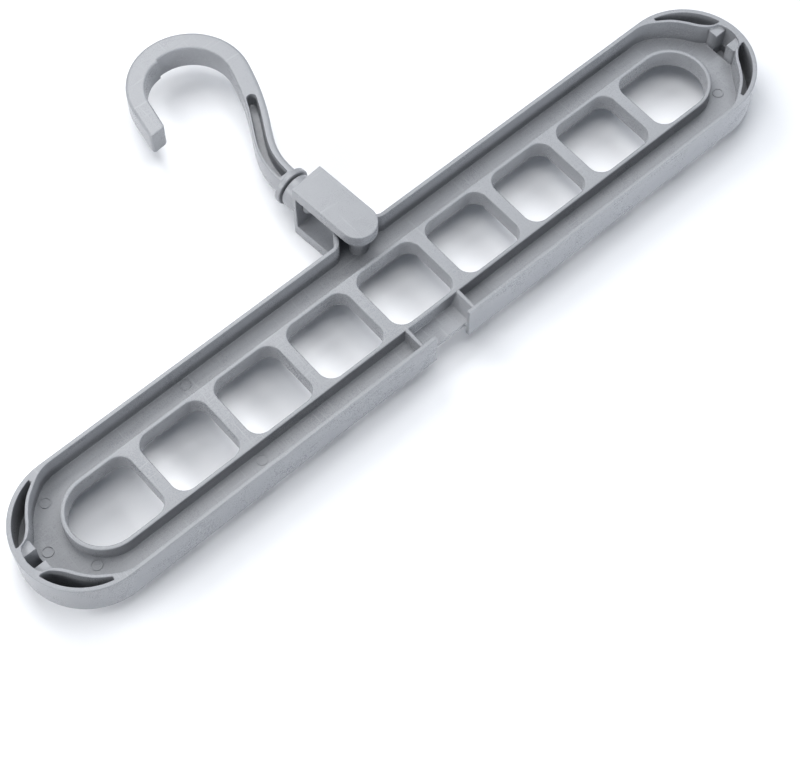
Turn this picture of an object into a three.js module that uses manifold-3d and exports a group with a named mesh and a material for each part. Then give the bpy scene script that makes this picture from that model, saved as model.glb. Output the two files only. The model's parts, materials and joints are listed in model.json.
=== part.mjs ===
// Nine-hole wardrobe hanger: a long moulded tray with a ladder of holes, a yoke that swings on a hub
// in the middle of one long side, and a hook that spins in the yoke.
// Millimetres, +Z up, lying flat. +X runs along the body and +Y points towards the hook.
// The origin is where the yoke's pivot axis meets the plane on which the yoke's lower cheek rests.

import * as THREE from "three";
import { mergeVertices } from "three/addons/utils/BufferGeometryUtils.js";
import Module from "manifold-3d";

// Body: outer size and walls
const BODY_LENGTH = 365;
const BODY_WIDTH = 57;
const RIM_HEIGHT = 17;
const RIM_WALL = 1.7;
const FLOOR_DEPTH = 10.9; // from the rim's top down to the floor of the channel
const FLOOR_THICKNESS = 1.9;

// Ladder of holes
const END_CHANNEL = 20.7; // from the rim's outer face to the ladder, at the ends
const SIDE_CHANNEL = 12.2; // the same along the sides
const LADDER_DROP = 3.9; // from the rim's top down to the ladder's top
const LADDER_WALL = 1.75;
const HOLE_COUNT = 9;
const RUNG_WIDTH = 5.2;
const END_HOLE_EXTRA = 3.5; // how much longer the two round-ended holes are
const HOLE_CORNER = 6;

// Notch and cross ribs in the middle of the near side
const NOTCH_WIDTH = 16.3;
const NOTCH_DEPTH = 2.4;
const RIB_SPACING = 26.4;
const RIB_WALL = 1.5;
const RIB_SLOPE = 2.5; // how much thicker a rib is at its foot, on the notch's side

// Pockets, shelves and slot at each end. Curves are pairs: an angle from the long axis, in degrees,
// and a depth inside the pockets' outer edge.
const POCKET_RIM = 1.9;
const POCKET_WALL = 1.35;
const POCKET_FLOOR = 1.9; // thickness under the pockets and the slot, which reach down to the rim's foot
const POCKET_PROFILE = [[15.5, 0.9], [20, 3.5], [32, 5.1], [47, 4.5], [62, 3.0], [76.5, 1.3]];
const POCKET_WALL_TIP = [[0, 0.9], [9, 1.2]];
const POCKET_WALL_TAIL = [[84, 1.25], [90, 0.35], [97, -0.45]];
const SHELF_DROP = 1.6; // from the rim's top down to the shelves
const SHELF_REACH = 8.5; // from the rim's outer face to the shelves' inner edges
const SHELF_LENGTH = 8.2; // from the long axis to the far corner of a shelf
const TIP_LAND = 2.9;
const TIP_SLOT_WIDTH = 5.7;

// Hub on the far side, round the yoke's pivot
const PIVOT_INSET = 1; // from the rim's outer face in to the pivot axis
const HUB_RADIUS = 10;
const HUB_FILLET = 4;
const HUB_BOSS_RADIUS = 4;

// Yoke
const YOKE_WIDTH = 15.7;
const YOKE_CLEARANCE = 1.25; // of the cheeks from the rim, on average above and below
const CHEEK_THICKNESS = 6;
const YOKE_BACK = 29; // from the pivot axis to the back wall's outer face
const YOKE_BACK_WALL = 1.9;
const YOKE_BOSS_RADIUS = 7.2;
const YOKE_BOSS_LENGTH = 7.1;
const STUD_RADIUS = 2.4;
const STUD_LENGTH = 4;
const YOKE_RAISE = 0.5; // of the yoke's middle, above the rim's middle
const YOKE_LEAN = 4.7; // degrees, turned towards -X

// Hook, in the yoke's own axes: across and along, from the pivot axis
const STEM_RADIUS = 3.2;
const HEAD_RADIUS = 4.6;
const HEAD_LENGTH = 3.4;
const HEAD_NOSE_RADIUS = 2.8;
const HEAD_SPLIT = 1.2;
const SPLIT_DEPTH = 8;
const COLLAR_RADIUS = 8.2;
const COLLAR_GAP = 0.7; // between the collar and the yoke's boss
const COLLAR_THICKNESS = 2.6;
const COLLAR_ROUND = 0.6;
const HOOK_DEPTH = 13;
const SHANK_WIDTH = 8.4;
const BOWL_WIDTH = 8.15;
const TIP_WIDTH = 7.2; // outside the line of the bowl's inner circle
const BOWL_RADIUS = 18.4; // inside
const BOWL_ACROSS = 2.55; // the bowl's centre, to the side of the stem's axis
const BOWL_RISE = 60.75; // the bowl's centre, above the collar
const SHANK_LEAVES = -20; // angle on the bowl where the shank begins, in degrees
const STEP_AT = 93; // angle on the bowl of a small step on its inside, where it begins to narrow
const STEP_HEIGHT = 0.9;
const STEP_RAMP = 20; // degrees in which the step runs down again
const TIP_STEP = 0.5; // what is left of the step, as far as the tip
const TIP_LEAVES = 164.5; // angle on the bowl where the straight tip begins
const TIP_LENGTH = 13.6;
const SHANK_EASE = 33.7; // how far the shank keeps the bowl's direction
const FOOT_EASE = 22.4; // how far the shank keeps the stem's direction
const GROOVE_WIDTH = 4.3;
const GROOVE_DEPTH = 7;
const GROOVE_ASIDE = 0.95; // from the shank's middle to the groove's, towards the inside of the hook
const GROOVE_FOOT = 1.4; // from the collar's top to the groove's lower end
const GROOVE_LENGTH = 39.8; // along the shank

// Clearance between pieces that move on each other
const RUNNING_GAP = 0.3;

// Roundness of arcs and round pieces
const ARC_STEPS = 20;
const CORNER_STEPS = 6;
const POCKET_STEPS = 16;
const ROUND_SIDES = 32;
const SHANK_STEPS = 18;
const BOWL_STEPS = 16;
const SAME_POINT = 0.001; // points closer than this are one
const OVERLAP = 0.5; // how far joined bodies reach into each other, and cuts past the surface

// Levels and places worked out from the sizes above
const BODY_RADIUS = BODY_WIDTH / 2;
const END_CENTRE = BODY_LENGTH / 2 - BODY_RADIUS;
const FLOOR_TOP = RIM_HEIGHT - FLOOR_DEPTH;
const FLOOR_BASE = FLOOR_TOP - FLOOR_THICKNESS;
const LADDER_LENGTH = BODY_LENGTH - 2 * END_CHANNEL;
const LADDER_WIDTH = BODY_WIDTH - 2 * SIDE_CHANNEL;
const LADDER_TOP = RIM_HEIGHT - LADDER_DROP;
const PIVOT_Y = BODY_RADIUS - PIVOT_INSET;
const YOKE_GAP = RIM_HEIGHT + 2 * YOKE_CLEARANCE;
const YOKE_HEIGHT = YOKE_GAP + 2 * CHEEK_THICKNESS;
const AXIS_HEIGHT = YOKE_HEIGHT / 2;
const BODY_BASE = AXIS_HEIGHT - YOKE_RAISE - RIM_HEIGHT / 2;
const STUD_BORE_RADIUS = STUD_RADIUS + RUNNING_GAP;
const STEM_BORE_RADIUS = STEM_RADIUS + RUNNING_GAP;
const BACK_INNER = YOKE_BACK - YOKE_BACK_WALL;
const BOSS_FACE = YOKE_BACK + YOKE_BOSS_LENGTH;
const COLLAR_FACE = BOSS_FACE + COLLAR_GAP;
const COLLAR_TOP = COLLAR_FACE + COLLAR_THICKNESS;
const HEAD_SHOULDER = BACK_INNER - RUNNING_GAP;
const HEAD_END = HEAD_SHOULDER - HEAD_LENGTH;

const wasm = await Module();
wasm.setup();

const radians = THREE.MathUtils.degToRad;

/** A closed three.js geometry as a solid that can be joined and cut. */
function solid(geometry) {
  const bare = geometry.clone();
  bare.deleteAttribute("normal");
  bare.deleteAttribute("uv");
  const merged = mergeVertices(bare);
  const mesh = new wasm.Mesh({
    numProp: 3,
    vertProperties: new Float32Array(merged.attributes.position.array),
    triVerts: new Uint32Array(merged.index.array),
  });
  return new wasm.Manifold(mesh);
}

/** A finished solid as a named mesh. */
function meshOf(name, body, material) {
  const { vertProperties, triVerts } = body.getMesh();
  const geometry = new THREE.BufferGeometry();
  geometry.setAttribute("position", new THREE.BufferAttribute(new Float32Array(vertProperties), 3));
  geometry.setIndex(new THREE.BufferAttribute(new Uint32Array(triVerts), 1));
  geometry.computeVertexNormals();
  const mesh = new THREE.Mesh(geometry, material);
  mesh.name = name;
  return mesh;
}

/** An outline's points, with its arcs cut into steps and no point twice where two stretches meet. */
function pointsOf(path, steps) {
  const points = path.getPoints(steps);
  return points.filter((point, index) => point.distanceTo(points.at(index - 1)) > SAME_POINT);
}

/** An upright prism on an outline. */
function prism(shape, low, high, steps = ARC_STEPS) {
  const outline = new THREE.Shape(pointsOf(shape, steps));
  outline.holes = shape.holes.map((hole) => new THREE.Path(pointsOf(hole, steps)));
  const options = { depth: high - low, bevelEnabled: false };
  return solid(new THREE.ExtrudeGeometry(outline, options).translate(0, 0, low));
}

/** A box between two corners. */
function block(low, high) {
  const size = new THREE.Vector3().subVectors(high, low);
  const middle = new THREE.Vector3().addVectors(low, high).multiplyScalar(0.5);
  return solid(new THREE.BoxGeometry(size.x, size.y, size.z).translate(middle.x, middle.y, middle.z));
}

/** An upright round bar. */
function bar(radius, low, high, x, y) {
  const geometry = new THREE.CylinderGeometry(radius, radius, high - low, ROUND_SIDES);
  return solid(geometry.rotateX(Math.PI / 2).translate(x, y, (low + high) / 2));
}

/** A round bar along Y, at the height of the stem's axis. */
function axle(radius, start, end) {
  const geometry = new THREE.CylinderGeometry(radius, radius, end - start, ROUND_SIDES);
  return solid(geometry.translate(0, (start + end) / 2, AXIS_HEIGHT));
}

/** Several solids as one. */
function join(solids) {
  return solids.reduce((whole, piece) => whole.add(piece));
}

/** An outline with straight sides and semicircular ends. */
function stadium(length, width) {
  const radius = width / 2;
  const centre = length / 2 - radius;
  const shape = new THREE.Shape();
  shape.moveTo(-centre, -radius);
  shape.lineTo(centre, -radius);
  shape.absarc(centre, 0, radius, -Math.PI / 2, Math.PI / 2);
  shape.lineTo(-centre, radius);
  shape.absarc(-centre, 0, radius, Math.PI / 2, 1.5 * Math.PI);
  return shape;
}

/** The rim's outline, inset by a wall, with the hub's round bulge on the far side. */
function rimOutline(inset) {
  const radius = BODY_RADIUS - inset;
  const rise = BODY_RADIUS + HUB_FILLET - PIVOT_Y;
  const reach = Math.sqrt((HUB_RADIUS + HUB_FILLET) ** 2 - rise ** 2);
  const turn = Math.atan2(rise, reach);
  const filletY = BODY_RADIUS + HUB_FILLET;
  const fillet = HUB_FILLET + inset;
  const shape = new THREE.Shape();
  shape.moveTo(-END_CENTRE, -radius);
  shape.lineTo(END_CENTRE, -radius);
  shape.absarc(END_CENTRE, 0, radius, -Math.PI / 2, Math.PI / 2);
  shape.lineTo(reach, radius);
  shape.absarc(reach, filletY, fillet, 1.5 * Math.PI, Math.PI + turn, true);
  shape.absarc(0, PIVOT_Y, HUB_RADIUS - inset, turn, Math.PI - turn);
  shape.absarc(-reach, filletY, fillet, -turn, -Math.PI / 2, true);
  shape.lineTo(-END_CENTRE, radius);
  shape.absarc(-END_CENTRE, 0, radius, Math.PI / 2, 1.5 * Math.PI);
  return shape;
}

/** A hole between two ends along X: each end is a corner radius, or a semicircle for the ladder's end. */
function holeOutline(left, right, leftRadius, rightRadius) {
  const half = LADDER_WIDTH / 2 - LADDER_WALL;
  const shape = new THREE.Shape();
  shape.moveTo(left + leftRadius, -half);
  shape.lineTo(right - rightRadius, -half);
  shape.absarc(right - rightRadius, rightRadius - half, rightRadius, -Math.PI / 2, 0);
  shape.lineTo(right, half - rightRadius);
  shape.absarc(right - rightRadius, half - rightRadius, rightRadius, 0, Math.PI / 2);
  shape.lineTo(left + leftRadius, half);
  shape.absarc(left + leftRadius, half - leftRadius, leftRadius, Math.PI / 2, Math.PI);
  shape.lineTo(left, leftRadius - half);
  shape.absarc(left + leftRadius, leftRadius - half, leftRadius, Math.PI, 1.5 * Math.PI);
  return shape;
}

/** The nine holes as prisms, evenly spaced between the ladder's two ends. */
function ladderHoles() {
  const inside = LADDER_LENGTH - 2 * LADDER_WALL;
  const holeLength = (inside - (HOLE_COUNT - 1) * RUNG_WIDTH - 2 * END_HOLE_EXTRA) / HOLE_COUNT;
  const endRadius = LADDER_WIDTH / 2 - LADDER_WALL;
  const holes = [];
  let left = -inside / 2;
  for (let index = 0; index < HOLE_COUNT; index += 1) {
    const first = index === 0;
    const last = index === HOLE_COUNT - 1;
    const right = left + holeLength + (first || last ? END_HOLE_EXTRA : 0);
    const leftRadius = first ? endRadius : HOLE_CORNER;
    const rightRadius = last ? endRadius : HOLE_CORNER;
    const outline = holeOutline(left, right, leftRadius, rightRadius);
    const steps = first || last ? ARC_STEPS : CORNER_STEPS;
    holes.push(prism(outline, FLOOR_BASE - OVERLAP, LADDER_TOP + OVERLAP, steps));
    left = right + RUNG_WIDTH;
  }
  return holes;
}

/** A point at one end of the body, from its angle and its depth inside the pockets' outer edge. */
function endPoint(end, side, angle, depth) {
  const radius = BODY_RADIUS - POCKET_RIM - depth;
  const x = END_CENTRE + radius * Math.cos(radians(angle));
  return new THREE.Vector2(end * x, side * radius * Math.sin(radians(angle)));
}

/** An outline between the pockets' outer edge, or further out, and a smooth curve inside it. */
function endOutline(end, side, profile, outside) {
  const inner = new THREE.SplineCurve(profile.map(([angle, depth]) => endPoint(end, side, angle, depth)));
  const start = profile[0][0];
  const sweep = profile[profile.length - 1][0] - start;
  const points = inner.getPoints(POCKET_STEPS);
  for (let step = 0; step <= POCKET_STEPS; step += 1) {
    points.push(endPoint(end, side, start + sweep * (1 - step / POCKET_STEPS), -outside));
  }
  return new THREE.Shape(points);
}

/** What stands at one corner of one end: the pocket's wall with its shelf, and the pocket itself. */
function endCorner(end, side) {
  const wallProfile = [
    ...POCKET_WALL_TIP,
    ...POCKET_PROFILE.map(([angle, depth]) => [angle, depth + POCKET_WALL]),
    ...POCKET_WALL_TAIL,
  ];
  const wall = prism(endOutline(end, side, wallProfile, OVERLAP), 0, RIM_HEIGHT);
  const pocket = prism(endOutline(end, side, POCKET_PROFILE, 0), POCKET_FLOOR, RIM_HEIGHT + OVERLAP);
  const edge = END_CENTRE + BODY_RADIUS - SHELF_REACH;
  const land = END_CENTRE + BODY_RADIUS - TIP_LAND + OVERLAP;
  const slotSide = TIP_SLOT_WIDTH / 2;
  const wallCorner = endPoint(1, 1, POCKET_PROFILE[0][0], POCKET_PROFILE[0][1]);
  const corners = [
    [edge, slotSide],
    [land, slotSide],
    [wallCorner.x, wallCorner.y],
    [edge + POCKET_WALL, SHELF_LENGTH],
    [edge, SHELF_LENGTH - POCKET_WALL],
  ];
  const shelfOutline = new THREE.Shape(corners.map(([x, y]) => new THREE.Vector2(end * x, side * y)));
  const shelf = prism(shelfOutline, FLOOR_BASE, RIM_HEIGHT - SHELF_DROP);
  return { standing: wall.add(shelf), pocket };
}

/** A box across the long axis at one end, from one distance inside the rim's outer face to another. */
function endBlock(end, near, far, width, low, high) {
  const inner = end * (END_CENTRE + BODY_RADIUS - near);
  const outer = end * (END_CENTRE + BODY_RADIUS - far);
  return block(
    new THREE.Vector3(Math.min(inner, outer), -width / 2, low),
    new THREE.Vector3(Math.max(inner, outer), width / 2, high),
  );
}

/** The slot in the floor at one end, between its two shelves. */
function tipSlot(end) {
  return endBlock(end, SHELF_REACH, TIP_LAND + OVERLAP, TIP_SLOT_WIDTH, POCKET_FLOOR, FLOOR_TOP + OVERLAP);
}

/** The cup under that slot. */
function slotCup(end) {
  const width = TIP_SLOT_WIDTH + 2 * POCKET_WALL;
  return endBlock(end, SHELF_REACH + POCKET_WALL, RIM_WALL - OVERLAP, width, 0, FLOOR_TOP - OVERLAP);
}

/** One of the two cross ribs beside the notch, from the ladder to the rim, with a sloping side. */
function crossRib(side) {
  const outer = RIB_SPACING / 2 + RIB_WALL / 2;
  const section = new THREE.Shape([
    new THREE.Vector2(outer - RIB_WALL - RIB_SLOPE, FLOOR_BASE),
    new THREE.Vector2(outer, FLOOR_BASE),
    new THREE.Vector2(outer, LADDER_TOP),
    new THREE.Vector2(outer - RIB_WALL, LADDER_TOP),
    new THREE.Vector2(outer - RIB_WALL - RIB_SLOPE, FLOOR_TOP),
  ]);
  const options = { depth: SIDE_CHANNEL, bevelEnabled: false };
  const rib = new THREE.ExtrudeGeometry(section, options).rotateX(Math.PI / 2);
  const turn = side > 0 ? 0 : Math.PI;
  const near = OVERLAP - LADDER_WIDTH / 2;
  const far = near - SIDE_CHANNEL;
  return solid(rib.rotateZ(turn).translate(0, side > 0 ? near : far, 0));
}

/** The body, with its underside at z = 0 and its middle on the Z axis. */
function hangerBody() {
  const rimShape = rimOutline(0);
  rimShape.holes.push(rimOutline(RIM_WALL));
  const rim = prism(rimShape, 0, RIM_HEIGHT);
  const floor = prism(rimOutline(RIM_WALL - OVERLAP), FLOOR_BASE, FLOOR_TOP);
  const ladder = prism(stadium(LADDER_LENGTH, LADDER_WIDTH), FLOOR_BASE, LADDER_TOP);
  const bossHalf = YOKE_GAP / 2 - RUNNING_GAP;
  const middle = RIM_HEIGHT / 2 + YOKE_RAISE;
  const boss = bar(HUB_BOSS_RADIUS, middle - bossHalf, middle + bossHalf, 0, PIVOT_Y);
  const bore = bar(STUD_BORE_RADIUS, middle - YOKE_GAP, middle + YOKE_GAP, 0, PIVOT_Y);
  const notch = block(
    new THREE.Vector3(-NOTCH_WIDTH / 2, -BODY_RADIUS - OVERLAP, -OVERLAP),
    new THREE.Vector3(NOTCH_WIDTH / 2, NOTCH_DEPTH - BODY_RADIUS, RIM_HEIGHT + OVERLAP),
  );
  const corners = [];
  for (const end of [-1, 1]) {
    for (const side of [-1, 1]) {
      corners.push(endCorner(end, side));
    }
  }
  const ribs = [crossRib(-1), crossRib(1)];
  const cups = [slotCup(-1), slotCup(1)];
  const ends = corners.map((corner) => corner.standing);
  const standing = join([rim, floor, ladder, boss, ...ribs, ...cups, ...ends]);
  const slots = [tipSlot(-1), tipSlot(1)];
  const cuts = [...ladderHoles(), ...corners.map((corner) => corner.pocket), bore, notch, ...slots];
  return standing.subtract(join(cuts));
}

/** The yoke, with its pivot on the Z axis and the stem's axis along Y. */
function swivelYoke() {
  const half = YOKE_WIDTH / 2;
  const outline = new THREE.Shape();
  outline.moveTo(-half, YOKE_BACK);
  outline.lineTo(-half, 0);
  outline.absarc(0, 0, half, Math.PI, 2 * Math.PI);
  outline.lineTo(half, YOKE_BACK);
  const upperBase = YOKE_HEIGHT - CHEEK_THICKNESS;
  const pieces = [
    prism(outline, 0, CHEEK_THICKNESS),
    prism(outline, upperBase, YOKE_HEIGHT),
    block(new THREE.Vector3(-half, BACK_INNER, 0), new THREE.Vector3(half, YOKE_BACK, YOKE_HEIGHT)),
    bar(STUD_RADIUS, CHEEK_THICKNESS - OVERLAP, CHEEK_THICKNESS + STUD_LENGTH, 0, 0),
    bar(STUD_RADIUS, upperBase - STUD_LENGTH, upperBase + OVERLAP, 0, 0),
    axle(YOKE_BOSS_RADIUS, YOKE_BACK - OVERLAP, BOSS_FACE),
  ];
  return join(pieces).subtract(axle(STEM_BORE_RADIUS, BACK_INNER - OVERLAP, BOSS_FACE + OVERLAP));
}

/** A point on the shank, with a band of a given width about it, moved aside towards the hook's inside. */
function shankStation(shank, share, width, aside = 0) {
  const point = shank.getPointAt(share);
  const along = shank.getTangentAt(share);
  return { point, along, inner: width / 2 + aside, outer: width / 2 - aside };
}

/** A point beside a station, square to the way there: on its inner side, or on the outer where negative. */
function beside({ point, along }, reach) {
  return new THREE.Vector2(point.x - along.y * reach, point.y + along.x * reach);
}

/** Points along the hook, from the collar to the tip, with the band's reach on its inner and outer side. */
function hookStations() {
  const centre = new THREE.Vector2(BOWL_ACROSS, COLLAR_TOP + BOWL_RISE);
  const onBowl = (angle) => new THREE.Vector2(
    centre.x + BOWL_RADIUS * Math.cos(radians(angle)),
    centre.y + BOWL_RADIUS * Math.sin(radians(angle)),
  );
  const way = (angle) => new THREE.Vector2(-Math.sin(radians(angle)), Math.cos(radians(angle)));
  const leave = onBowl(SHANK_LEAVES).addScaledVector(way(SHANK_LEAVES - 90), BOWL_WIDTH / 2);
  const ease = leave.clone().addScaledVector(way(SHANK_LEAVES), -SHANK_EASE);
  const foot = new THREE.Vector2(0, COLLAR_TOP - OVERLAP);
  const shank = new THREE.CubicBezierCurve(foot, new THREE.Vector2(0, foot.y + FOOT_EASE), ease, leave);
  const stations = [];
  for (let step = 0; step < SHANK_STEPS; step += 1) {
    const share = step / SHANK_STEPS;
    stations.push(shankStation(shank, share, THREE.MathUtils.lerp(SHANK_WIDTH, BOWL_WIDTH, share)));
  }
  const bowlStation = (angle, inner) => {
    const narrowing = THREE.MathUtils.smoothstep(angle, STEP_AT, TIP_LEAVES);
    const outer = THREE.MathUtils.lerp(BOWL_WIDTH, TIP_WIDTH, narrowing);
    stations.push({ point: onBowl(angle), along: way(angle), inner, outer });
  };
  for (let step = 0; step <= BOWL_STEPS; step += 1) {
    bowlStation(THREE.MathUtils.lerp(SHANK_LEAVES, STEP_AT, step / BOWL_STEPS), 0);
  }
  for (let step = 0; step <= BOWL_STEPS; step += 1) {
    const angle = THREE.MathUtils.lerp(STEP_AT, TIP_LEAVES, step / BOWL_STEPS);
    const ramp = THREE.MathUtils.smoothstep(angle, STEP_AT, STEP_AT + STEP_RAMP);
    bowlStation(angle, THREE.MathUtils.lerp(STEP_HEIGHT, TIP_STEP, ramp));
  }
  const tip = onBowl(TIP_LEAVES).addScaledVector(way(TIP_LEAVES), TIP_LENGTH);
  stations.push({ point: tip, along: new THREE.Vector2(0, -1), inner: TIP_STEP, outer: TIP_WIDTH });
  return { stations, shank };
}

/** An outline along a row of stations. */
function ribbon(stations) {
  const inside = stations.map((station) => beside(station, station.inner));
  const outside = stations.map((station) => beside(station, -station.outer));
  return new THREE.Shape([...outside, ...inside.reverse()]);
}

/** The hook, in the yoke's axes, with its stem in the yoke's boss. */
function swivelHook() {
  const { stations, shank } = hookStations();
  const low = AXIS_HEIGHT - HOOK_DEPTH / 2;
  const high = AXIS_HEIGHT + HOOK_DEPTH / 2;
  const band = prism(ribbon(stations), low, high);
  const turned = [
    [0, HEAD_END],
    [HEAD_NOSE_RADIUS, HEAD_END],
    [HEAD_RADIUS, HEAD_SHOULDER - HEAD_LENGTH / 3],
    [HEAD_RADIUS, HEAD_SHOULDER],
    [STEM_RADIUS, HEAD_SHOULDER],
    [STEM_RADIUS, COLLAR_FACE],
    [COLLAR_RADIUS - COLLAR_ROUND, COLLAR_FACE],
    [COLLAR_RADIUS, COLLAR_FACE + COLLAR_ROUND],
    [COLLAR_RADIUS, COLLAR_TOP - COLLAR_ROUND],
    [COLLAR_RADIUS - COLLAR_ROUND, COLLAR_TOP],
    [0, COLLAR_TOP],
  ];
  const profile = turned.map(([radius, along]) => new THREE.Vector2(radius, along));
  const foot = solid(new THREE.LatheGeometry(profile, ROUND_SIDES).translate(0, 0, AXIS_HEIGHT));
  const split = block(
    new THREE.Vector3(-HEAD_SPLIT / 2, HEAD_END - OVERLAP, AXIS_HEIGHT - YOKE_GAP / 2),
    new THREE.Vector3(HEAD_SPLIT / 2, HEAD_END + SPLIT_DEPTH, AXIS_HEIGHT + YOKE_GAP / 2),
  );
  const grooveStations = [];
  for (let step = 0; step <= SHANK_STEPS; step += 1) {
    const reach = OVERLAP + GROOVE_FOOT + (GROOVE_LENGTH * step) / SHANK_STEPS;
    grooveStations.push(shankStation(shank, reach / shank.getLength(), GROOVE_WIDTH, GROOVE_ASIDE));
  }
  const top = beside(grooveStations[SHANK_STEPS], GROOVE_ASIDE);
  const grooveFloor = high - GROOVE_DEPTH;
  const groove = prism(ribbon(grooveStations), grooveFloor, high + OVERLAP)
    .add(bar(GROOVE_WIDTH / 2, grooveFloor, high + OVERLAP, top.x, top.y));
  return band.subtract(groove).add(foot.subtract(split));
}

const greyPlastic = (color) => new THREE.MeshStandardMaterial({ color, roughness: 0.5, metalness: 0 });

const body = meshOf("hanger_body", hangerBody(), greyPlastic(0x8f9194));
body.position.set(0, -PIVOT_Y, BODY_BASE);

const swing = new THREE.Group();
swing.rotation.z = radians(YOKE_LEAN);
swing.add(meshOf("swivel_yoke", swivelYoke(), greyPlastic(0x9c9ea2)));
swing.add(meshOf("swivel_hook", swivelHook(), greyPlastic(0x9c9ea2)));

const hanger = new THREE.Group();
hanger.add(body, swing);

export default hanger;
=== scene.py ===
"""Nine-hole wardrobe hanger lying on a pale floor: its three grey plastic mouldings, finished."""

import json
from math import cos, degrees, radians, sin

import bmesh
import bpy
import numpy as np
from mathutils import Matrix, Vector


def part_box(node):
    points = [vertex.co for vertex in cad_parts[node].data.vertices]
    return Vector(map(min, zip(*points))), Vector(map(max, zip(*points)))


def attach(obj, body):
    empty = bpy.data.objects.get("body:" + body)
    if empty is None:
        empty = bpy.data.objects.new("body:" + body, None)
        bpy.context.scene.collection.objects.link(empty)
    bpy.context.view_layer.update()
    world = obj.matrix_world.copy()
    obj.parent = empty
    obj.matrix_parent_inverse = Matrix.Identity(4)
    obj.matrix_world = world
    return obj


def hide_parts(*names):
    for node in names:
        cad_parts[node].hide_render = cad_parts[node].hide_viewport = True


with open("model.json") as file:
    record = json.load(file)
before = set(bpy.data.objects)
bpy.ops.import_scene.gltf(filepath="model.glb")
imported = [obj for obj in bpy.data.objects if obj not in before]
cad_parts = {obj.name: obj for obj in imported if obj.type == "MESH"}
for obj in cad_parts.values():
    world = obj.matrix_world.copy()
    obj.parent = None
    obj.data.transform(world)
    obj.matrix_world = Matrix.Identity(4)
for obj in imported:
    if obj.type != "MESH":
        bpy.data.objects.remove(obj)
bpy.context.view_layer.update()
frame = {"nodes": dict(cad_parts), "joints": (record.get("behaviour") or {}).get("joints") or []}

MM = 0.001

# Meshing
TOUCH = 0.01 * MM  # points this close are at one place or on one level
CUT_TOUCH = TOUCH / 10  # points this close to a cut are on it
WELD = 0.03 * MM
SHARP_ANGLE = radians(31)  # an edge that turns more than this is an edge of the mould
FLAT_ANGLE = radians(0.5)  # faces that turn less than this are one flat face
SHAPE_ANGLE = radians(70)  # pairs of triangles further from a rectangle than this stay apart
LEVEL_RISE = 0.5  # a face whose normal has more of Z than this is level, not steep
TOP_RISE = 0.9  # and one with more than this is part of a top

# Roundings of the body's and the yoke's edges
RIM_ROUND = 0.5 * MM
LADDER_ROUND = 0.5 * MM
BODY_ROUND = 0.32 * MM  # the body's other edges
YOKE_ROUND = 0.45 * MM
ROUND_SEGMENTS = 3
EDGE_ROUNDING = {
    "limit_method": "WEIGHT",
    "profile": 0.5,
    "use_clamp_overlap": False,
    "loop_slide": False,
    "harden_normals": True,
}

# Body: levels and places
AXIS_HEIGHT = 15.75 * MM
RIM_TOP = AXIS_HEIGHT + 8 * MM
LADDER_TOP = RIM_TOP - 3.9 * MM
CHANNEL_FLOOR = RIM_TOP - 10.9 * MM
SHELF_LEVEL = RIM_TOP - 1.6 * MM
BODY_WIDTH = 57 * MM
body_low, body_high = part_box("hanger_body")
BODY_MIDDLE = body_low.y + BODY_WIDTH / 2
END_CENTRE = body_high.x - BODY_WIDTH / 2
SLOT_START = body_high.x - 9.2 * MM
SLOT_HALF = 3.5 * MM
HOLE_COUNT = 9
HOLE_PITCH = 35.367 * MM
OUTLINE_DEPTH = 0.2 * MM  # how far inside the rim's outline an edge still counts as on it

# Marks of the mould's ejector pins on the channel's floor, in millimetres from the body's middle
PIN_PLACES = [
    (-170.3, 3.0),
    (-159.5, 19.5),
    (-160.0, -12.8),
    (-90.2, 24.0),
    (-88.0, -19.6),
    (159.9, -13.8),
]
PIN_RADIUS = 2.3 * MM
PIN_RISE = 0.28 * MM
PIN_SINK = 0.3 * MM
PIN_RING = 0.42 * MM  # width of the raised ring round a mark
PIN_ROUND = 0.1 * MM
PIN_ROUND_SEGMENTS = 2
PIN_SIDES = 40

# Hook, in the yoke's axes: across and along, from the pivot. Its guide line is the middle of the shank
# and then the bowl's inner circle.
joints = {joint["name"]: joint for joint in frame["joints"]}
STEM_AXIS = Vector(joints["hook_spin"]["axis"])
HOOK_DEPTH = 13 * MM
COLLAR_TOP = 39.4 * MM
SHANK_WIDTH = 8.4 * MM
BOWL_WIDTH = 8.15 * MM
TIP_WIDTH = 7.2 * MM
BOWL_RADIUS = 18.4 * MM
BOWL_CENTRE = Vector((2.55 * MM, COLLAR_TOP + 60.75 * MM))
FOOT_SUNK = 0.5 * MM  # the band's start inside the collar
FOOT_EASE = 22.4 * MM
SHANK_EASE = 33.7 * MM
STEP_HEIGHT = 0.9 * MM
TIP_STEP = 0.5 * MM  # what is left of the step's height towards the tip
TIP_LENGTH = 13.6 * MM
CURVE_STEPS = 200
HOOK_CUTS = 170

# Angles on the bowl, in degrees
SHANK_LEAVES = -20
STEP_AT = 93
STEP_SOFT = 0.3
STEP_RAMP = 20
TIP_LEAVES = 164.5

# Roundings of the hook's bar
OUTER_TOP_ROUND = 1.5 * MM
INNER_TOP_ROUND = 0.75 * MM
OUTER_BACK_ROUND = 2.4 * MM
INNER_BACK_ROUND = 1.9 * MM
TIP_OUTER_ROUND = 1.6 * MM
TIP_INNER_ROUND = 1.2 * MM
TIP_TOP_ROUND = 0.6 * MM
TIP_BACK_ROUND = 1.6 * MM
BAR_SEGMENTS = 6

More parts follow.
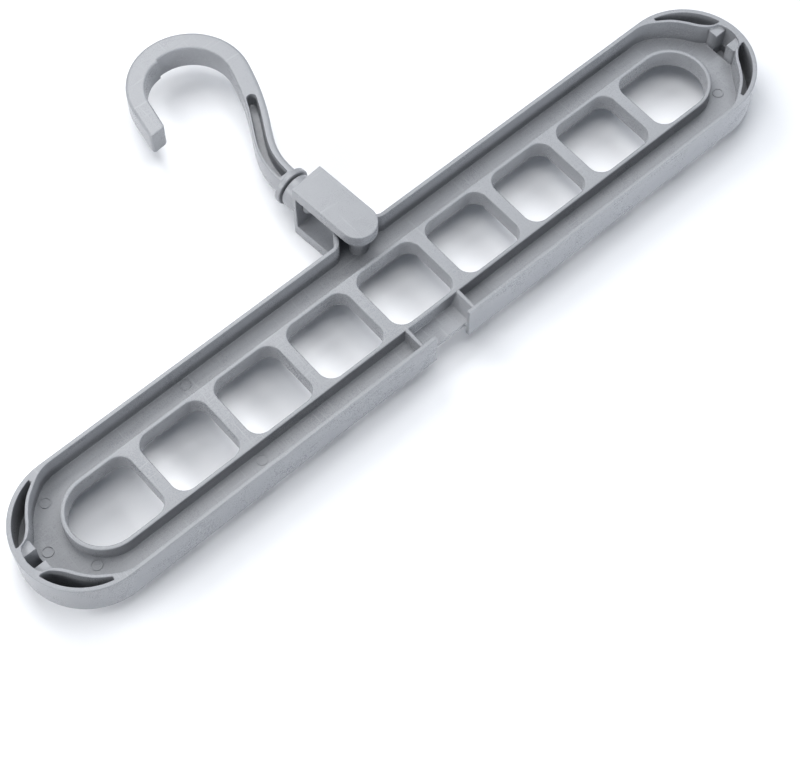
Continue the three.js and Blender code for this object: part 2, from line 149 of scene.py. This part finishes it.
# Groove in the shank's top
GROOVE_HALF = 2.15 * MM
GROOVE_ASIDE = 0.95 * MM  # towards the inside of the hook
GROOVE_START = 1.9 * MM
GROOVE_END = 43.85 * MM
GROOVE_DEPTH = 7 * MM
GROOVE_TOP = HOOK_DEPTH / 2
GROOVE_FLOOR = GROOVE_TOP - GROOVE_DEPTH
GROOVE_TAPER = 0.45 * MM  # of each wall, from the top to the floor
GROOVE_CORNERS = [  # at each end: its place, its corners' radius and segments
    (GROOVE_END, GROOVE_HALF - TOUCH, 10),
    (GROOVE_START, 0.6 * MM, 3),
]
GROOVE_EDGES = [  # at the top and the floor: the level, the edge's radius and segments
    (GROOVE_TOP, 0.22 * MM, 2),
    (GROOVE_FLOOR, 0.5 * MM, 3),
]

# Turned foot of the hook: its split head, stem and collar
HEAD_END = 23.4 * MM
HEAD_WIDEST = 25.67 * MM
HEAD_SHOULDER = 26.8 * MM
HEAD_END_RADIUS = 2.8 * MM
HEAD_RADIUS = 4.6 * MM
STEM_RADIUS = 3.2 * MM
COLLAR_FACE = 36.8 * MM
COLLAR_RADIUS = 8.2 * MM
COLLAR_ROUND = 0.6 * MM
COLLAR_SEGMENTS = 4
FOOT_PROFILE = [  # radius, and place along the stem's axis
    (0, HEAD_END),
    (HEAD_END_RADIUS, HEAD_END),
    (HEAD_RADIUS, HEAD_WIDEST),
    (HEAD_RADIUS, HEAD_SHOULDER),
    (STEM_RADIUS, HEAD_SHOULDER),
    (STEM_RADIUS, COLLAR_FACE),
    (COLLAR_RADIUS, COLLAR_FACE),
    (COLLAR_RADIUS, COLLAR_TOP),
    (0, COLLAR_TOP),
]
FOOT_SIDES = 64
SPLIT_WIDTH = 1.2 * MM
SPLIT_DEPTH = 8 * MM

# Plastic's finish
PLASTIC_DARK = (0.285, 0.292, 0.309, 1)
PLASTIC_LIGHT = (0.339, 0.346, 0.363, 1)
PLASTIC_IOR = 1.46
SMOOTHEST = 0.24  # the least and the most roughness of the skin
ROUGHEST = 0.35
GRAIN_SIZE = 2600.0
FLOW_SIZE = 45.0
GRAIN_SHARE = 0.65  # of the fine grain in the tone, beside the slow flow
GRAIN_STRENGTH = 0.12
GRAIN_HEIGHT = 0.05 * MM
SCUFF_FINENESS = 1100.0
SCUFF_STRETCHES = [(0.06, 1, 1), (1, 0.06, 1)]
SCUFF_TURN = (0, 0, radians(14))
SCUFF_LEVEL = 0.62  # of the noise, above which it is a scratch
SCUFF_COLOUR = (0.42, 0.43, 0.445, 1)
SCUFF_DULLING = 0.3

# Floor
FLOOR_SIZE = 6.0
FLOOR_CELLS = 4
PAPER_DARK = (0.87, 0.875, 0.89, 1)
PAPER_LIGHT = (0.89, 0.895, 0.91, 1)
PAPER_MOTTLE = 6.0
PAPER_ROUGHNESS = 0.9
PAPER_SPECULAR = 0.1

# Light: soft panels round the object, as in a light tent. Each row is a panel's name, azimuth and
# elevation in degrees, width, height, power in watts and colour.
WHITE = (1.0, 1.0, 1.0)
COOL_WHITE = (0.94, 0.965, 1.0)
TENT_RADIUS = 620 * MM
TENT_MIDDLE = Vector((0, -28, 0)) * MM
PANELS = [
    ("left_panel", 172, 30, 0.70, 0.11, 2.1, WHITE),
    ("front_panel", 297, 12, 0.60, 0.20, 2.1, COOL_WHITE),
    ("top_panel", 90, 88, 0.36, 0.36, 1.5, WHITE),
    ("back_panel", 84, 50, 0.36, 0.34, 1.5, WHITE),
    ("right_panel", 20, 50, 0.30, 0.30, 0.7, COOL_WHITE),
]
ROOM_COLOUR = (0.75, 0.86, 1.0, 1)
ROOM_STRENGTH = 0.13

# Camera: the photograph is taken from above the near left, with a long lens
CAMERA_AZIMUTH = radians(-41.11)
CAMERA_ELEVATION = radians(62.54)
CAMERA_DISTANCE = 737.28 * MM
CAMERA_TARGET = Vector((-31.53, -60.87, 23.75)) * MM
SENSOR_WIDTH = 36.0
FOCAL_LENGTH = 88.44
NEAREST_SEEN = 0.01


# Shader helpers

def node(tree, kind, place, **values):
    """A shader node at a place in the editor, with the given inputs (by name) and settings."""
    made = tree.nodes.new(kind)
    made.location = place
    for key, value in values.items():
        if hasattr(made, key):
            setattr(made, key, value)
        else:
            made.inputs[key.replace("_", " ")].default_value = value
    return made


def moulded_skin_group():
    """Fine spark-eroded texture of the mould and the slow tone changes of the flowing plastic."""
    group = bpy.data.node_groups.new("moulded_skin", "ShaderNodeTree")
    sockets = group.interface
    for name in ("Grain Size", "Flow Size"):
        sockets.new_socket(name, in_out="INPUT", socket_type="NodeSocketFloat")
    for name in ("Height", "Tone", "Gloss"):
        sockets.new_socket(name, in_out="OUTPUT", socket_type="NodeSocketFloat")
    source = node(group, "NodeGroupInput", (-800, 0))
    sink = node(group, "NodeGroupOutput", (400, 0))
    where = node(group, "ShaderNodeTexCoord", (-800, 200))
    grain = node(group, "ShaderNodeTexNoise", (-400, 200), Detail=3.0, Roughness=0.6)
    flow = node(group, "ShaderNodeTexNoise", (-400, -100), Detail=4.0, Roughness=0.55, Distortion=0.8)
    both = node(group, "ShaderNodeMath", (0, 0), operation="MULTIPLY")
    mottle = node(group, "ShaderNodeMix", (0, -250), data_type="FLOAT")
    mottle.inputs["Factor"].default_value = GRAIN_SHARE
    link = group.links.new
    link(where.outputs["Object"], grain.inputs["Vector"])
    link(where.outputs["Object"], flow.inputs["Vector"])
    link(source.outputs["Grain Size"], grain.inputs["Scale"])
    link(source.outputs["Flow Size"], flow.inputs["Scale"])
    link(grain.outputs["Fac"], both.inputs[0])
    link(flow.outputs["Fac"], both.inputs[1])
    link(flow.outputs["Fac"], mottle.inputs["A"])
    link(grain.outputs["Fac"], mottle.inputs["B"])
    link(grain.outputs["Fac"], sink.inputs["Height"])
    link(mottle.outputs["Result"], sink.inputs["Tone"])
    link(both.outputs[0], sink.inputs["Gloss"])
    return group


def fine_scuffs_group():
    """Faint scratches from handling, along and across the moulding, as a mask."""
    group = bpy.data.node_groups.new("fine_scuffs", "ShaderNodeTree")
    group.interface.new_socket("Fineness", in_out="INPUT", socket_type="NodeSocketFloat")
    group.interface.new_socket("Scuffs", in_out="OUTPUT", socket_type="NodeSocketFloat")
    source = node(group, "NodeGroupInput", (-1000, 0))
    sink = node(group, "NodeGroupOutput", (400, 0))
    where = node(group, "ShaderNodeTexCoord", (-1000, 200))
    either = node(group, "ShaderNodeMath", (200, 0), operation="MAXIMUM")
    link = group.links.new
    for row, stretch in enumerate(SCUFF_STRETCHES):
        height = 200 - 300 * row
        along = node(group, "ShaderNodeMapping", (-750, height), Scale=stretch, Rotation=SCUFF_TURN)
        scratch = node(group, "ShaderNodeTexNoise", (-500, height), Detail=2.0, Roughness=0.5)
        thin = node(group, "ShaderNodeMapRange", (-250, height), From_Min=SCUFF_LEVEL, From_Max=1.0)
        link(where.outputs["Object"], along.inputs["Vector"])
        link(along.outputs["Vector"], scratch.inputs["Vector"])
        link(source.outputs["Fineness"], scratch.inputs["Scale"])
        link(scratch.outputs["Fac"], thin.inputs["Value"])
        link(thin.outputs["Result"], either.inputs[row])
    link(either.outputs[0], sink.inputs["Scuffs"])
    return group


def grey_plastic():
    """Satin grey moulding: its skin gives tone, gloss and bump, and scuffs lighten and dull it."""
    material = bpy.data.materials.new("grey_moulded_plastic")
    material.use_nodes = True
    tree = material.node_tree
    shader = tree.nodes["Principled BSDF"]
    shader.inputs["IOR"].default_value = PLASTIC_IOR
    skin = node(tree, "ShaderNodeGroup", (-700, 0), node_tree=moulded_skin_group())
    skin.inputs["Grain Size"].default_value = GRAIN_SIZE
    skin.inputs["Flow Size"].default_value = FLOW_SIZE
    scuffs = node(tree, "ShaderNodeGroup", (-700, 450), node_tree=fine_scuffs_group())
    scuffs.inputs["Fineness"].default_value = SCUFF_FINENESS
    tone = node(tree, "ShaderNodeMapRange", (-450, 200), From_Min=0.3, From_Max=0.7)
    colour = node(tree, "ShaderNodeMix", (-200, 200), data_type="RGBA")
    colour.inputs["A"].default_value = PLASTIC_DARK
    colour.inputs["B"].default_value = PLASTIC_LIGHT
    lighter = node(tree, "ShaderNodeMix", (0, 300), data_type="RGBA")
    lighter.inputs["B"].default_value = SCUFF_COLOUR
    gloss = node(tree, "ShaderNodeMapRange", (-450, -50), From_Min=0.1, From_Max=0.4)
    gloss.inputs["To Min"].default_value = SMOOTHEST
    gloss.inputs["To Max"].default_value = ROUGHEST
    duller = node(tree, "ShaderNodeMath", (-200, -50), operation="MULTIPLY_ADD")
    duller.inputs[1].default_value = SCUFF_DULLING
    bump = node(tree, "ShaderNodeBump", (-200, -300), Strength=GRAIN_STRENGTH, Distance=GRAIN_HEIGHT)
    link = tree.links.new
    link(skin.outputs["Tone"], tone.inputs["Value"])
    link(tone.outputs["Result"], colour.inputs["Factor"])
    link(scuffs.outputs["Scuffs"], lighter.inputs["Factor"])
    link(colour.outputs["Result"], lighter.inputs["A"])
    link(lighter.outputs["Result"], shader.inputs["Base Color"])
    link(skin.outputs["Gloss"], gloss.inputs["Value"])
    link(scuffs.outputs["Scuffs"], duller.inputs[0])
    link(gloss.outputs["Result"], duller.inputs[2])
    link(duller.outputs[0], shader.inputs["Roughness"])
    link(skin.outputs["Height"], bump.inputs["Height"])
    link(bump.outputs["Normal"], shader.inputs["Normal"])
    return material


def white_paper():
    """White paper sweep with the faintest mottling."""
    material = bpy.data.materials.new("white_paper")
    material.use_nodes = True
    tree = material.node_tree
    shader = tree.nodes["Principled BSDF"]
    shader.inputs["Roughness"].default_value = PAPER_ROUGHNESS
    shader.inputs["Specular IOR Level"].default_value = PAPER_SPECULAR
    where = node(tree, "ShaderNodeTexCoord", (-700, 0))
    mottle = node(tree, "ShaderNodeTexNoise", (-450, 0), Scale=PAPER_MOTTLE, Detail=2.0)
    colour = node(tree, "ShaderNodeMix", (-200, 0), data_type="RGBA")
    colour.inputs["A"].default_value = PAPER_DARK
    colour.inputs["B"].default_value = PAPER_LIGHT
    link = tree.links.new
    link(where.outputs["Object"], mottle.inputs["Vector"])
    link(mottle.outputs["Fac"], colour.inputs["Factor"])
    link(colour.outputs["Result"], shader.inputs["Base Color"])
    return material


# Mesh helpers

def finished(mesh, name, body, material):
    """The object of a finished mesh, riding on its body."""
    data = bpy.data.meshes.new(name)
    mesh.to_mesh(data)
    mesh.free()
    data.polygons.foreach_set("use_smooth", [True] * len(data.polygons))
    piece = bpy.data.objects.new(name, data)
    bpy.context.scene.collection.objects.link(piece)
    data.materials.append(material)
    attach(piece, body)
    return piece


def evenly_shaded(piece):
    """Flat faces shaded flat up to the roundings beside them, and sharp edges kept."""
    weighted = piece.modifiers.new("even_shading", "WEIGHTED_NORMAL")
    weighted.keep_sharp = True


def rounded(mesh, edges, radius, segments):
    """Edges rounded to a radius."""
    bmesh.ops.bevel(
        mesh, geom=edges, offset=radius, offset_type="OFFSET", affect="EDGES",
        segments=segments, profile=0.5, material=-1,
    )


def edges_where(mesh, test):
    """The edges whose ends both pass a test."""
    return [edge for edge in mesh.edges if all(test(vert.co) for vert in edge.verts)]


def beside_wall(edge):
    """Whether an edge is where a level face meets a steep one."""
    return len({abs(face.normal.z) > LEVEL_RISE for face in edge.link_faces}) == 2


def cut(mesh, place, direction):
    """A cut right through, which leaves a row of edges."""
    everything = mesh.verts[:] + mesh.edges[:] + mesh.faces[:]
    bmesh.ops.bisect_plane(mesh, geom=everything, dist=CUT_TOUCH, plane_co=place, plane_no=direction)


def new_verts(made):
    """The vertices that an operator made."""
    return [item for item in made["geom"] if isinstance(item, bmesh.types.BMVert)]


def work_object(mesh):
    """A passing object for a mesh, which frees the mesh."""
    data = bpy.data.meshes.new("work")
    mesh.to_mesh(data)
    mesh.free()
    piece = bpy.data.objects.new("work", data)
    bpy.context.scene.collection.objects.link(piece)
    return piece


def with_modifier(mesh, kind, settings):
    """A mesh with a modifier applied to it."""
    piece = work_object(mesh)
    modifier = piece.modifiers.new("work", kind)
    for setting, value in settings.items():
        setattr(modifier, setting, value)
    result = bmesh.new()
    result.from_object(piece, bpy.context.evaluated_depsgraph_get())
    bpy.data.meshes.remove(piece.data)
    return result


def combined(mesh, other, operation):
    """One closed mesh joined with another, or cut by it."""
    tool = work_object(other)
    settings = {"operation": operation, "solver": "EXACT", "object": tool}
    result = with_modifier(mesh, "BOOLEAN", settings)
    bpy.data.meshes.remove(tool.data)
    return result


def weigh_edges(mesh, rounding):
    """Marks each sharp edge with its share of the widest rounding, which is returned."""
    weight = mesh.edges.layers.float.new("bevel_weight_edge")
    sharp = [edge for edge in mesh.edges if edge.is_manifold and edge.calc_face_angle() > SHARP_ANGLE]
    radii = [rounding((edge.verts[0].co + edge.verts[1].co) / 2) for edge in sharp]
    for edge, radius in zip(sharp, radii):
        edge[weight] = radius / max(radii)
        edge.smooth = radius > 0
    return max(radii)


# Body and yoke: the CAD solids with rounded edges

def flat_edges(mesh):
    """The edges inside flat faces."""
    return [edge for edge in mesh.edges if edge.is_manifold and edge.calc_face_angle() < FLAT_ANGLE]


def between_stops(edge, stops):
    """Whether an edge lies between the first and the last of some stops along X, and on none of them."""
    places = [vert.co.x for vert in edge.verts]
    inside = stops and all(min(stops) - TOUCH < place < max(stops) + TOUCH for place in places)
    return inside and not any(all(abs(place - stop) < TOUCH for place in places) for stop in stops)


def moulding(cad_node, body, name, material, rounding, stops=()):
    """A merged copy of a CAD node whose edges get the roundings that rounding(middle) gives.

    Its flat faces are laid out in even quads and triangles, and cuts at the stops along X keep those
    beside long edges short.
    """
    mesh = bmesh.new()
    mesh.from_mesh(frame["nodes"][cad_node].data)
    bmesh.ops.remove_doubles(mesh, verts=mesh.verts, dist=WELD)
    bmesh.ops.dissolve_limit(mesh, angle_limit=FLAT_ANGLE, verts=mesh.verts, edges=mesh.edges)
    for stop in stops:
        cut(mesh, (stop, 0, 0), (1, 0, 0))
    loose = [edge for edge in flat_edges(mesh) if between_stops(edge, stops)]
    bmesh.ops.dissolve_edges(mesh, edges=loose, use_verts=True)
    bmesh.ops.triangulate(mesh, faces=mesh.faces, quad_method="BEAUTY", ngon_method="BEAUTY")
    bmesh.ops.beautify_fill(mesh, faces=mesh.faces, edges=flat_edges(mesh), method="AREA")
    bmesh.ops.join_triangles(
        mesh, faces=mesh.faces, angle_face_threshold=FLAT_ANGLE, angle_shape_threshold=SHAPE_ANGLE,
    )
    widest = weigh_edges(mesh, rounding)
    piece = finished(mesh, name, body, material)
    bevel = piece.modifiers.new("edge_rounding", "BEVEL")
    for setting, value in (EDGE_ROUNDING | {"width": widest, "segments": ROUND_SEGMENTS}).items():
        setattr(bevel, setting, value)
    evenly_shaded(piece)
    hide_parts(cad_node)


def body_rounding(place):
    """Wider roundings on the rim's outline and the ladder's top; the narrow end slots stay crisp."""
    from_middle = Vector((max(abs(place.x) - END_CENTRE, 0), place.y - BODY_MIDDLE))
    if abs(place.z - RIM_TOP) < TOUCH and from_middle.length > BODY_WIDTH / 2 - OUTLINE_DEPTH:
        return RIM_ROUND
    if abs(place.z - LADDER_TOP) < TOUCH:
        return LADDER_ROUND
    in_slot = abs(place.x) > SLOT_START and abs(place.y - BODY_MIDDLE) < SLOT_HALF
    return 0.0 if in_slot and place.z < SHELF_LEVEL - TOUCH else BODY_ROUND


def yoke_rounding(place):
    """The same rounding on all of the yoke's edges."""
    return YOKE_ROUND


def body_stops():
    """Places along X in the middle of the holes and of the bars between them."""
    holes = [(index - (HOLE_COUNT - 1) / 2) * HOLE_PITCH for index in range(HOLE_COUNT)]
    return holes + [hole + HOLE_PITCH / 2 for hole in holes[:-1]]


def ejector_pin_marks(material):
    """Raised rings that the mould's ejector pins leave on the channel's floor."""
    mesh = bmesh.new()
    for along, across in PIN_PLACES:
        place = Vector((along * MM, BODY_MIDDLE + across * MM, CHANNEL_FLOOR - PIN_SINK))
        bmesh.ops.create_circle(
            mesh, cap_ends=True, segments=PIN_SIDES, radius=PIN_RADIUS, matrix=Matrix.Translation(place),
        )
    discs = mesh.faces[:]
    bmesh.ops.inset_individual(mesh, faces=discs, thickness=PIN_RING, use_even_offset=True)
    bmesh.ops.delete(mesh, geom=discs, context="FACES_ONLY")
    tops = new_verts(bmesh.ops.extrude_face_region(mesh, geom=mesh.faces[:]))
    bmesh.ops.translate(mesh, verts=tops, vec=(0, 0, PIN_SINK + PIN_RISE))
    bmesh.ops.recalc_face_normals(mesh, faces=mesh.faces)
    mesh.normal_update()
    crests = edges_where(mesh, lambda co: co.z > CHANNEL_FLOOR)
    rounded(mesh, [edge for edge in crests if beside_wall(edge)], PIN_ROUND, PIN_ROUND_SEGMENTS)
    marks = finished(mesh, "ejector_pin_marks", "body", material)
    marks.data.set_sharp_from_angle(angle=SHARP_ANGLE)
    evenly_shaded(marks)


# Hook: a straight bar with a groove, bent along the hook's guide line and joined to a turned foot

def lerp(start, end, share):
    """The value at a share of the way from start to end."""
    return start + (end - start) * share


def smooth(value, start, end):
    """0 before start, 1 after end, and an even change between."""
    share = min(max((value - start) / (end - start), 0.0), 1.0)
    return share * share * (3 - 2 * share)


def bowl_way(angle):
    """The hook's direction at an angle on the bowl."""
    return Vector((-sin(radians(angle)), cos(radians(angle))))


def on_bowl(angle):
    """The place at an angle on the bowl's inner circle."""
    return BOWL_CENTRE + Vector((cos(radians(angle)), sin(radians(angle)))) * BOWL_RADIUS


SHANK_TOP = on_bowl(SHANK_LEAVES) + bowl_way(SHANK_LEAVES - 90) * BOWL_WIDTH / 2
SHANK_FOOT = Vector((0, COLLAR_TOP - FOOT_SUNK))
SHANK_KNOTS = [
    SHANK_FOOT,
    SHANK_FOOT + Vector((0, FOOT_EASE)),
    SHANK_TOP - bowl_way(SHANK_LEAVES) * SHANK_EASE,
    SHANK_TOP,
]


def on_shank(share):
    """The place at a share of the shank's curve, and the direction there."""
    points = SHANK_KNOTS
    while len(points) > 2:
        points = [start.lerp(end, share) for start, end in zip(points, points[1:])]
    start, end = points
    return start.lerp(end, share), (end - start).normalized()


SHANK_SHARES = [step / CURVE_STEPS for step in range(CURVE_STEPS + 1)]
SHANK_REACHES = [0.0]
for before, after in zip(SHANK_SHARES, SHANK_SHARES[1:]):
    SHANK_REACHES.append(SHANK_REACHES[-1] + (on_shank(after)[0] - on_shank(before)[0]).length)
SHANK_LENGTH = SHANK_REACHES[-1]


def reach_at(angle):
    """The length along the hook at an angle on the bowl."""
    return SHANK_LENGTH + BOWL_RADIUS * radians(angle - SHANK_LEAVES)


TIP_START = reach_at(TIP_LEAVES)
HOOK_LENGTH = TIP_START + TIP_LENGTH


def guide_line(reach):
    """The hook's place and direction at a length from its foot, and how far the band goes in and out."""
    if reach < SHANK_LENGTH:
        share = float(np.interp(reach, SHANK_REACHES, SHANK_SHARES))
        place, way = on_shank(share)
        half = lerp(SHANK_WIDTH, BOWL_WIDTH, share) / 2
        return place, way, half, half
    angle = SHANK_LEAVES + degrees((reach - SHANK_LENGTH) / BOWL_RADIUS)
    step = smooth(angle, STEP_AT - STEP_SOFT, STEP_AT + STEP_SOFT)
    inner = step * lerp(STEP_HEIGHT, TIP_STEP, smooth(angle, STEP_AT, STEP_AT + STEP_RAMP))
    outer = lerp(BOWL_WIDTH, TIP_WIDTH, smooth(angle, STEP_AT, TIP_LEAVES))
    beyond = max(reach - TIP_START, 0.0)
    way = bowl_way(min(angle, TIP_LEAVES))
    place = on_bowl(min(angle, TIP_LEAVES)) + way * beyond
    return place, way.lerp(Vector((0, -1)), beyond / TIP_LENGTH), inner, outer


def bent(spot):
    """Where a spot of the straight bar goes: its X is across, outwards, and its Y the length along."""
    place, way, inner, outer = guide_line(spot.y)
    outwards = Vector((way.y, -way.x))
    place = place + outwards * lerp(-inner, outer, spot.x / SHANK_WIDTH + 0.5)
    return Vector((place.x, place.y, spot.z))


def bar_rounding(place):
    """Roundings of the bar's long edges and of its tip. Its start, inside the collar, stays crisp."""
    if place.y < TOUCH:
        return 0.0
    if place.y > HOOK_LENGTH - TOUCH:
        if abs(place.z) < TOUCH:
            return TIP_OUTER_ROUND if place.x > 0 else TIP_INNER_ROUND
        return TIP_TOP_ROUND if place.z > 0 else TIP_BACK_ROUND
    if place.z > 0:
        return OUTER_TOP_ROUND if place.x > 0 else INNER_TOP_ROUND
    return OUTER_BACK_ROUND if place.x > 0 else INNER_BACK_ROUND


def hook_bar():
    """The straight bar, with its rounded edges and tip."""
    mesh = bmesh.new()
    bmesh.ops.create_cube(mesh, size=1.0)
    bmesh.ops.translate(mesh, verts=mesh.verts, vec=(0, 0.5, 0))
    bmesh.ops.scale(mesh, verts=mesh.verts, vec=(SHANK_WIDTH, HOOK_LENGTH, HOOK_DEPTH))
    widest = weigh_edges(mesh, bar_rounding)
    return with_modifier(mesh, "BEVEL", EDGE_ROUNDING | {"width": widest, "segments": BAR_SEGMENTS})


def in_groove(spot):
    """Whether a spot of the bar is in the groove or on its edge."""
    across = abs(spot.x + GROOVE_ASIDE) < GROOVE_HALF + TOUCH
    return across and GROOVE_START - TOUCH < spot.y < GROOVE_END + TOUCH


def groove_corners(mesh, end):
    """The two upright edges of the groove at one end."""
    corners = edges_where(mesh, lambda co: in_groove(co) and abs(co.y - end) < TOUCH)
    steep = [edge for edge in corners if abs(edge.verts[0].co.z - edge.verts[1].co.z) > GROOVE_DEPTH / 2]
    return [edge for edge in steep if edge.verts[0].co.z > GROOVE_FLOOR - TOUCH]


def lean_walls(mesh):
    """The groove's floor narrowed and shortened, so that its walls lean in."""
    middle = Vector((-GROOVE_ASIDE, (GROOVE_START + GROOVE_END) / 2, 0))
    narrowing = 1 - GROOVE_TAPER / GROOVE_HALF
    shortening = 1 - 2 * GROOVE_TAPER / (GROOVE_END - GROOVE_START)
    on_floor = [
        vert for vert in mesh.verts if abs(vert.co.z - GROOVE_FLOOR) < TOUCH and in_groove(vert.co)
    ]
    bmesh.ops.scale(
        mesh, verts=on_floor, vec=(narrowing, shortening, 1), space=Matrix.Translation(-middle),
    )


def sink_groove(mesh):
    """The groove sunk into the bar's top, with a round upper end and walls that lean in."""
    for side in (-1, 1):
        cut(mesh, (side * GROOVE_HALF - GROOVE_ASIDE, 0, 0), (1, 0, 0))
    for end in (GROOVE_START, GROOVE_END):
        cut(mesh, (0, end, 0), (0, 1, 0))
    mesh.normal_update()
    tops = [face for face in mesh.faces if face.normal.z > TOP_RISE]
    lid = next(face for face in tops if all(in_groove(vert.co) for vert in face.verts))
    floor_verts = new_verts(bmesh.ops.extrude_face_region(mesh, geom=[lid] + lid.edges[:]))
    bmesh.ops.translate(mesh, verts=floor_verts, vec=(0, 0, -GROOVE_DEPTH))
    for end, radius, segments in GROOVE_CORNERS:
        rounded(mesh, groove_corners(mesh, end), radius, segments)
    bmesh.ops.remove_doubles(mesh, verts=mesh.verts, dist=WELD)
    lean_walls(mesh)
    mesh.normal_update()
    for level, radius, segments in GROOVE_EDGES:
        rim = edges_where(mesh, lambda co: in_groove(co) and abs(co.z - level) < TOUCH)
        rounded(mesh, [edge for edge in rim if beside_wall(edge)], radius, segments)


def on_collar(spot):
    """Whether a spot of the foot is on the collar's outside."""
    return Vector((spot.x, spot.z)).length > COLLAR_RADIUS - TOUCH


def turned_foot():
    """Collar, stem and split snap head, turned on the stem's axis."""
    mesh = bmesh.new()
    profile = [mesh.verts.new((radius, along, 0)) for radius, along in FOOT_PROFILE]
    for start, end in zip(profile, profile[1:]):
        mesh.edges.new((start, end))
    bmesh.ops.spin(
        mesh, geom=mesh.verts[:] + mesh.edges[:], cent=(0, 0, 0), axis=(0, 1, 0),
        angle=radians(360), steps=FOOT_SIDES, use_merge=True,
    )
    bmesh.ops.remove_doubles(mesh, verts=mesh.verts, dist=TOUCH)
    bmesh.ops.recalc_face_normals(mesh, faces=mesh.faces)
    collar = edges_where(mesh, on_collar)
    rings = [edge for edge in collar if abs(edge.verts[0].co.y - edge.verts[1].co.y) < TOUCH]
    rounded(mesh, rings, COLLAR_ROUND, COLLAR_SEGMENTS)
    split = bmesh.new()
    bmesh.ops.create_cube(split, size=1.0)
    bmesh.ops.scale(split, verts=split.verts, vec=(SPLIT_WIDTH, 2 * SPLIT_DEPTH, HOOK_DEPTH))
    bmesh.ops.translate(split, verts=split.verts, vec=(0, HEAD_END, 0))
    return combined(mesh, split, "DIFFERENCE")


def swivel_hook(material):
    """The bent bar and its foot as one moulding."""
    mesh = hook_bar()
    sink_groove(mesh)
    stops = [HOOK_LENGTH * step / HOOK_CUTS for step in range(1, HOOK_CUTS)]
    stops += [SHANK_LENGTH, reach_at(STEP_AT - STEP_SOFT), reach_at(STEP_AT + STEP_SOFT), TIP_START]
    for stop in stops:
        cut(mesh, (0, stop, 0), (0, 1, 0))
    for vert in mesh.verts:
        vert.co = bent(vert.co)
    bmesh.ops.recalc_face_normals(mesh, faces=mesh.faces)
    mesh = combined(mesh, turned_foot(), "UNION")
    across = Vector((STEM_AXIS.y, -STEM_AXIS.x, 0))
    up = Vector((0, 0, 1))
    axes = Matrix((across, STEM_AXIS, up)).transposed().to_4x4()
    bmesh.ops.transform(mesh, matrix=Matrix.Translation(up * AXIS_HEIGHT) @ axes, verts=mesh.verts)
    piece = finished(mesh, "moulded_hook", "hook", material)
    piece.data.set_sharp_from_angle(angle=SHARP_ANGLE)
    evenly_shaded(piece)
    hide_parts("swivel_hook")


# Stage: floor, light and camera

def paper_floor():
    """The floor that the object lies on."""
    mesh = bmesh.new()
    bmesh.ops.create_grid(mesh, x_segments=FLOOR_CELLS, y_segments=FLOOR_CELLS, size=FLOOR_SIZE / 2)
    data = bpy.data.meshes.new("floor")
    mesh.to_mesh(data)
    mesh.free()
    floor = bpy.data.objects.new("floor", data)
    bpy.context.scene.collection.objects.link(floor)
    data.materials.append(white_paper())


def facing(thing, place, aim):
    """Puts a light or camera at a place, looking at a point, level."""
    thing.location = place
    thing.rotation_euler = (place - aim).to_track_quat("Z", "Y").to_euler()


def soft_panel(name, azimuth, elevation, width, height, power, colour):
    """One panel of the light tent, facing its middle."""
    light = bpy.data.lights.new(name, "AREA")
    light.shape = "RECTANGLE"
    light.size = width
    light.size_y = height
    light.energy = power
    light.color = colour
    panel = bpy.data.objects.new(name, light)
    bpy.context.scene.collection.objects.link(panel)
    level = TENT_RADIUS * cos(radians(elevation))
    reach = Vector((
        level * cos(radians(azimuth)),
        level * sin(radians(azimuth)),
        TENT_RADIUS * sin(radians(elevation)),
    ))
    facing(panel, TENT_MIDDLE + reach, TENT_MIDDLE)


def white_room():
    """Weak light from all round, and the picture's tones."""
    room = bpy.data.worlds.new("white_room")
    room.use_nodes = True
    background = room.node_tree.nodes["Background"]
    background.inputs["Color"].default_value = ROOM_COLOUR
    background.inputs["Strength"].default_value = ROOM_STRENGTH
    bpy.context.scene.world = room
    bpy.context.scene.view_settings.view_transform = "Standard"
    bpy.context.scene.view_settings.look = "Medium High Contrast"


def photograph_camera():
    """The camera at the photograph's viewpoint."""
    lens = bpy.data.cameras.new("camera")
    lens.sensor_fit = "HORIZONTAL"
    lens.sensor_width = SENSOR_WIDTH
    lens.lens = FOCAL_LENGTH
    lens.clip_start = NEAREST_SEEN
    camera = bpy.data.objects.new("camera", lens)
    bpy.context.scene.collection.objects.link(camera)
    towards_camera = Vector((
        sin(CAMERA_AZIMUTH) * cos(CAMERA_ELEVATION),
        -cos(CAMERA_AZIMUTH) * cos(CAMERA_ELEVATION),
        sin(CAMERA_ELEVATION),
    ))
    facing(camera, CAMERA_TARGET + towards_camera * CAMERA_DISTANCE, CAMERA_TARGET)
    bpy.context.scene.camera = camera


plastic = grey_plastic()
moulding("hanger_body", "body", "moulded_body", plastic, body_rounding, body_stops())
moulding("swivel_yoke", "yoke", "moulded_yoke", plastic, yoke_rounding)
swivel_hook(plastic)
ejector_pin_marks(plastic)
paper_floor()
for panel_row in PANELS:
    soft_panel(*panel_row)
white_room()
photograph_camera()
